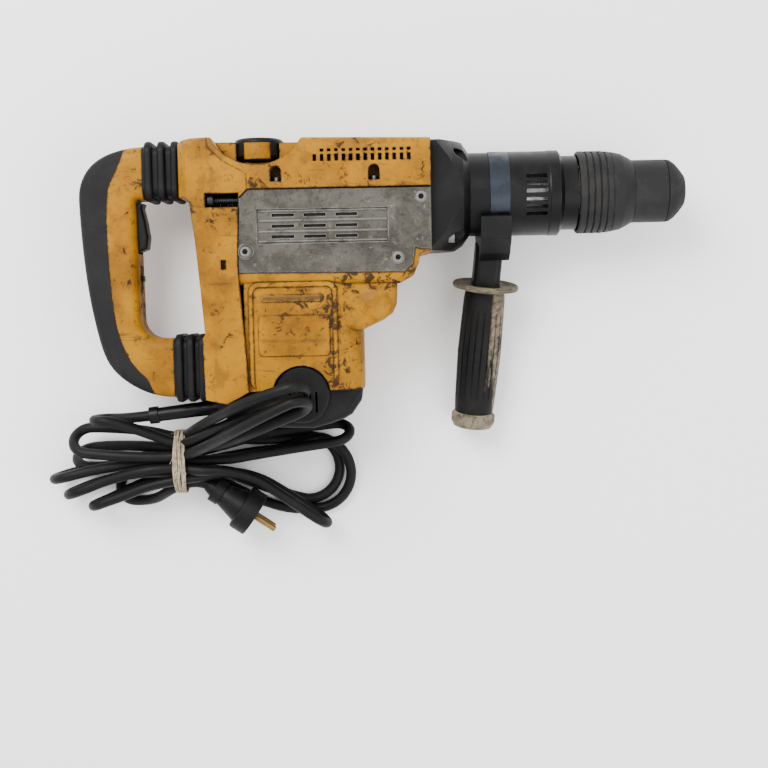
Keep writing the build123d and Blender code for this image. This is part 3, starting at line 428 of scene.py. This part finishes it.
# The folds of the hank, in order. Each turns half a circle about its middle: the tip, the direction it
# points in, its radius, how far its plane is tilted up, which way it turns, and the loose points of the
# lead between the tie and the fold, before it and after it.
FOLDS = [
    ((-231, -100, 55), 180, 12, 90, 1, [], [(-205, -104.5, 62), (-186, -113, 51)]),
    (
        (-60, -75, 118), 17, 13, 65, 1, [(-150, -116.5, 56), (-128, -105, 86), (-100, -93, 104)],
        [(-100, -82, 121), (-122, -92, 106), (-145, -105, 66), (-156, -112, 46)],
    ),
    ((-253, -118, 34), 180, 14, 45, 1, [(-195, -111, 27)], [(-200, -131, 48)]),
    (
        (-59, -86, 114), 18, 13, -65, -1, [(-148, -124.5, 62), (-125, -112, 97), (-100, -98, 118)],
        [(-80, -99, 101.5), (-101, -108, 92), (-125, -119, 66), (-147, -125, 46)],
    ),
    ((-254, -133, 18), 180, 14, 60, 1, [(-195, -124.5, 22), (-225, -125, 10)], [(-200, -139, 28)]),
    (
        (-30, -115, 28), 6, 13, 60, -1, [(-135, -126, 20), (-100, -116, 18), (-70, -112.5, 17)],
        [(-75, -127, 41), (-107, -131.5, 42), (-124, -134.4, 42), (-148, -135.5, 38)],
    ),
    (
        (-272, -150, 22), 194, 17, -90, 1, [(-200, -137, 36), (-235, -141, 38.5)],
        [(-225, -141.5, 5), (-195, -133, 10), (-180, -127, 18)],
    ),
    (
        (-39.8, -150.7, 4.6), -8, 26.5, 0, -1, [(-140, -120.5, 14), (-110, -123, 5), (-85, -123, 4.6)],
        [(-98.6, -163.7, 5), (-125, -152, 12), (-146, -144.5, 24)],
    ),
    (
        (-261, -163, 22), 200, 17, 90, 1, [(-187, -145.5, 29), (-210, -147.5, 20), (-230, -153, 9)],
        [(-227, -150, 40), (-192.5, -141, 47)],
    ),
    (
        (-50, -190, 27), -35, 13, -90, -1,
        [(-150, -143.5, 45.5), (-132, -142.5, 45), (-107, -150, 41), (-91, -161, 40)],
        [(-85, -166, 14), (-105, -153, 17), (-128, -145.5, 32), (-150, -149, 37)],
    ),
    (
        (-240, -172, 27), 200, 13.5, -90, 1, [(-193, -155, 42), (-211, -162, 41)],
        [(-205, -157, 13.5), (-187, -152, 16)],
    ),
    (
        (-30.3, -155.4, 9.5), -8, 31, 9, 1,
        [(-150, -150, 16), (-135, -158, 6), (-110, -172, 4.6), (-85, -181, 4.6)],
        [(-70, -125.5, 14), (-85, -131, 8), (-110, -133, 5), (-140, -137, 15)],
    ),
    (
        (-222, -159.5, 4.6), 180, 12.5, 0, 1, [(-187, -144, 11), (-203, -147.3, 5)],
        [(-192, -170, 12), (-178, -161, 26)],
    ),
]
LARGE_FOLD = 20
PLUG_FACE = Vector((-108.5, -182.5, 28.3))
PLUG_AXIS = Vector((0.82, -0.57, -0.05)).normalized()
PLUG_LENGTH = 46
# How far the lead goes into the plug, and its last straight run outside it
INSIDE_PLUG = 2
LAST_RUN = 7


def fold(tip, heading, radius, tilt, turn):
    forward = Vector((math.cos(math.radians(heading)), math.sin(math.radians(heading)), 0))
    flat = math.cos(math.radians(tilt)) * turn
    across = Vector((-forward.y * flat, forward.x * flat, math.sin(math.radians(tilt))))
    middle = Vector(tip) - forward * radius
    steps = 10 if radius > LARGE_FOLD else 6
    angles = [math.pi * step / steps - math.pi / 2 for step in range(steps + 1)]
    return [middle + (forward * math.cos(a) + across * math.sin(a)) * radius for a in angles]


def cord_route():
    points = [Vector(point) for point in TAIL_ROUTE]
    for number, (tip, heading, radius, tilt, turn, before, after) in enumerate(FOLDS):
        bend = fold(tip, heading, radius, tilt, turn)
        points += [Vector(point) for point in before]
        points += bend if number else bend[1:]
        points += [Vector(point) for point in after]
        y, z = TIE_PASSES[number]
        points.append(Vector(TIE_AT) + Vector((0, y, z)))
    tail_end = PLUG_FACE - PLUG_AXIS * (PLUG_LENGTH - INSIDE_PLUG)
    points += [tail_end - PLUG_AXIS * LAST_RUN, tail_end]
    return [point * MM for point in points]


def make_cord():
    lead_rubber = rubber("lead_rubber", (0.0032, 0.0032, 0.0035), 0.5, 0.13)
    piece = add_curve("mains_lead", [cord_route()], CORD_DIAMETER / 2, lead_rubber, "tool_body")
    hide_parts("cord_tail", "cord_hank")
    return piece


# ---------------------------------------------------------------- the thread round the hank

STRANDS = 8
STRAND_PITCH = 1.15
STRAND_RADIUS = 0.78
STRAND_STEPS = 24
FRAY_RADIUS = 0.18
TIE_HALF_Y = 25.0
TIE_HALF_Z = 18.6
# Frayed fibres: where round the hank in degrees, to which side, and how long
LOOSE_ENDS = [(62, 1, 7.5), (75, -1, 6.0), (248, 1, 6.5), (262, -1, 8.0), (95, 1, 4.5), (20, -1, 5.0)]


# The thread goes out round the lead's first pass, which stands proud of the rest of the hank
BULGE = 2.5
BULGE_ANGLE = math.radians(52)
BULGE_WIDTH = math.radians(30)


def tie_point(angle, across, out=0.0):
    out += BULGE * math.exp(-((angle - BULGE_ANGLE) / BULGE_WIDTH) ** 2)
    y = (TIE_HALF_Y + out) * math.cos(angle)
    z = (TIE_HALF_Z + out) * math.sin(angle)
    return (Vector(TIE_AT) + Vector((across, y, z))) * MM


def tie_strand(number):
    """One turn of thread. Neighbouring turns wander a little and cross."""
    points = []
    for step in range(STRAND_STEPS):
        angle = math.tau * step / STRAND_STEPS
        wander = 0.5 * math.sin(2 * angle + 1.7 * number) + 0.35 * math.sin(3 * angle + 2.9 * number)
        out = 0.3 * math.sin(4 * angle + 2.1 * number)
        across = (number - (STRANDS - 1) / 2) * STRAND_PITCH
        points.append(tie_point(angle, across + wander, out))
    return points


def loose_end(degrees, side, length):
    """A frayed fibre that leaves the thread and lifts off it."""
    angle = math.radians(degrees)
    reach = STRANDS * STRAND_PITCH / 2 - 1.0
    points = []
    for step in range(5):
        share = step / 4
        across = side * (reach + length * 0.5 * share)
        points.append(tie_point(angle + 0.25 * share, across, 0.2 + 1.4 * share ** 2))
    return points


def make_tie():
    thread = twine("twine")
    turns = [tie_strand(number) for number in range(STRANDS)]
    tie = add_curve("tie_thread", turns, STRAND_RADIUS * MM, thread, "tool_body", closed=True)
    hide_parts("cord_tie")
    ends = [loose_end(*place) for place in LOOSE_ENDS]
    frays = add_curve("tie_frays", ends, FRAY_RADIUS * MM, thread, "tool_body")
    return [tie, frays]


# ---------------------------------------------------------------- bellows and springs

# Copies of these are shown in place of the CAD nodes, which are hidden. Each node, its slot, the bodies
# at its rear and front ends, and where along X those ends are.
YIELDING = [
    ("upper_bellows", "grip_rubber", "rear_handle", "tool_body", -184.4, -154.0),
    ("lower_bellows", "grip_rubber", "rear_handle", "tool_body", -164.4, -137.4),
    ("trigger_spring", "spring_steel", "rear_handle", "trigger", -211.3, -205.0),
    ("sleeve_spring", "spring_steel", "spindle", "sleeve", 153.6, 173.6),
]


def make_yielding():
    for name, slot, rear_body, front_body, rear, front in YIELDING:
        source = NODES[name]
        piece = bpy.data.objects.new(name + "_shown", source.data.copy())
        bpy.context.collection.objects.link(piece)
        piece.matrix_world = source.matrix_world
        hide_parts(name)
        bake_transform(piece)


FLOOR_HALF = 4


def make_floor():
    paint = Paint("floor", (0.93, 0.93, 0.93), 0.95)
    paint.color = paint.tone((0.94, 0.94, 0.94), (0.925, 0.925, 0.925), paint.noise(2))
    mesh = bpy.data.meshes.new("floor")
    corners = [(-FLOOR_HALF, -FLOOR_HALF, 0), (FLOOR_HALF, -FLOOR_HALF, 0), (FLOOR_HALF, FLOOR_HALF, 0)]
    mesh.from_pydata([*corners, (-FLOOR_HALF, FLOOR_HALF, 0)], [], [(0, 1, 2, 3)])
    mesh.materials.append(paint.done(0.0001, 0))
    floor = bpy.data.objects.new("floor", mesh)
    bpy.context.collection.objects.link(floor)


# ---------------------------------------------------------------- finishes of the parts

# Where dirt has gathered: spans along the axes, and how much it adds
UPPER_GRIME = [
    ((("Y", 0.072, 0.084), ("X", -0.10, 0.04)), 0.06),
    ((("Y", 0.074, 0.118), ("X", -0.155, -0.095)), 0.03),
    ((("Y", -0.09, 0.07), ("X", -0.15, -0.10)), 0.025),
]
MOTOR_GRIME = [
    ((("X", -0.046, -0.026), ("Y", -0.09, 0.01), ("Z", 0.05, 0.2)), 0.08),
    ((("X", -0.03, 0.04), ("Y", -0.004, 0.018)), 0.11),
    ((("X", -0.03, 0.02), ("Y", -0.09, -0.03)), 0.05),
    ((("X", -0.105, -0.03), ("Y", -0.075, 0.0), ("Z", 0.05, 0.2)), 0.02),
]
SLOT_STAIN = [
    ((("X", -0.0925, -0.0475), ("Y", -0.0093, -0.0058), ("Z", 0.095, 0.2)), (0.030, 0.023, 0.013), 0.95),
    ((("X", -0.094, -0.044), ("Y", -0.0405, -0.0385), ("Z", 0.095, 0.2)), (0.05, 0.028, 0.006), 0.6),
]


# The depth of the hexagon sockets of the side cover screws, on either side, painted near black as the shade
# inside the sockets
SHADED_SCREW_SOCKETS = [(("Z", 0.0995, 0.1014),), (("Z", 0.0026, 0.0045),)]


def finishes():
    """Each finish, with the CAD nodes that have it."""
    return [
        (cast_aluminium("cast_aluminium"), ["gearbox_housing", "right_side_cover", "left_side_cover"]),
        (
            yellow_plastic("yellow_plastic", UPPER_GRIME),
            ["top_cover", "rear_housing", "handle_right_shell", "handle_left_shell"],
        ),
        (yellow_plastic("yellow_motor_plastic", MOTOR_GRIME, SLOT_STAIN), ["motor_housing"]),
        (
            black_plastic("black_plastic"),
            ["end_cap", "front_housing", "selector_knob", "trigger", "lock_slider", "fan"],
        ),
        (black_plastic("barrel_plastic", (0.0024, 0.0025, 0.0028), 0.34, 0.12), ["barrel", "strain_relief"]),
        (rubber("overmold_rubber", (0.0085, 0.0078, 0.0086), 0.7, 0.18), ["handle_overmold"]),
        (rubber("soft_black"), ["shaft_seal", "upper_bellows", "lower_bellows"]),
        (peeled_grip("grip_rubber"), ["side_handle_grip"]),
        (rubber("cap_rubber", (0.0125, 0.0120, 0.0120), 0.75, 0.5), ["dust_cap"]),
        (
            black_plastic("sleeve_plastic", (0.0105, 0.0105, 0.0110), 0.55, 0.4, True),
            ["locking_sleeve", "nose_tube"],
        ),
        (black_plastic("bracket_plastic", (0.0032, 0.0032, 0.0035), 0.42, 0.25), ["side_handle_bracket"]),
        (steel("strap_steel", (0.028, 0.034, 0.044), 0.34, (1, 0.1, 0.1)), ["side_handle_strap"]),
        (khaki("khaki_plastic"), ["side_handle_flange", "side_handle_end_flange"]),
        (
            steel("screw_steel", (0.16, 0.155, 0.145), 0.36, shaded_sockets=SHADED_SCREW_SOCKETS),
            ["cover_screws", "top_screws", "housing_screws"],
        ),
        (steel("dark_steel", (0.030, 0.030, 0.031), 0.45), ["channel_screws", "side_handle_rod"]),
        (
            steel("machined_steel", (0.42, 0.42, 0.43), 0.28),
            [
                "motor_shaft", "crank_gear", "bevel_shaft", "bevel_ring", "piston", "connecting_rod",
                "wrist_pin", "hammer_tube", "ram", "beat_piece", "tool_holder", "tube_bearings",
                "shaft_bearings", "lock_segments",
            ],
        ),
        (steel("spring_steel", (0.30, 0.30, 0.31), 0.3), ["trigger_spring", "sleeve_spring"]),
        (copper_windings("windings"), ["armature", "stator", "brush_gear"]),
        (yellow_plastic("amber_plastic"), ["selector_button"]),
        (black_plastic("module_plastic", (0.03, 0.05, 0.035), 0.5), ["electronics", "switch_module"]),
        (rubber("plug_rubber", (0.0030, 0.0030, 0.0033), 0.5, 0.2), ["plug_body"]),
        (steel("pin_brass", (0.26, 0.165, 0.050), 0.32), ["plug_pins"]),
    ]


make_camera()
make_lights()
make_floor()
cord = make_cord()
tie_pieces = make_tie()
for material, names in finishes():
    for name in names:
        for place in NODES[name].material_slots:
            place.material = material
make_yielding()
